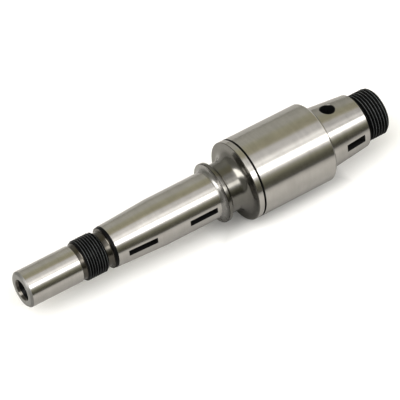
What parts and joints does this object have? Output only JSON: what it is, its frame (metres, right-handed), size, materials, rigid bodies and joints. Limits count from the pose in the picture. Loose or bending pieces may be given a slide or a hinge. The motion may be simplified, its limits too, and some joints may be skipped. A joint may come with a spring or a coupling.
{
  "type": "pinion shaft",
  "caption": "Stepped, ground steel shaft that carries a pinion gear and an oil pump gear at one end and fits a crank cheek by a taper at the other.",
  "frame": {"origin": "centre of the flat face at the threaded crank end, which the shaft stands on", "axes": "+Z along the shaft from the crank end to the nose, -Y the side the keyseats face, +X the side the cross oil hole faces"},
  "size_m": [0.0318, 0.0318, 0.1585],
  "materials": {
    "steel": "ground bright on the journals, seats and tapers; dark and unground on the threads, reliefs, neck and flange face"
  },
  "bodies": {
    "root": {"pinion_shaft": "steel"}
  },
  "joints": []
}
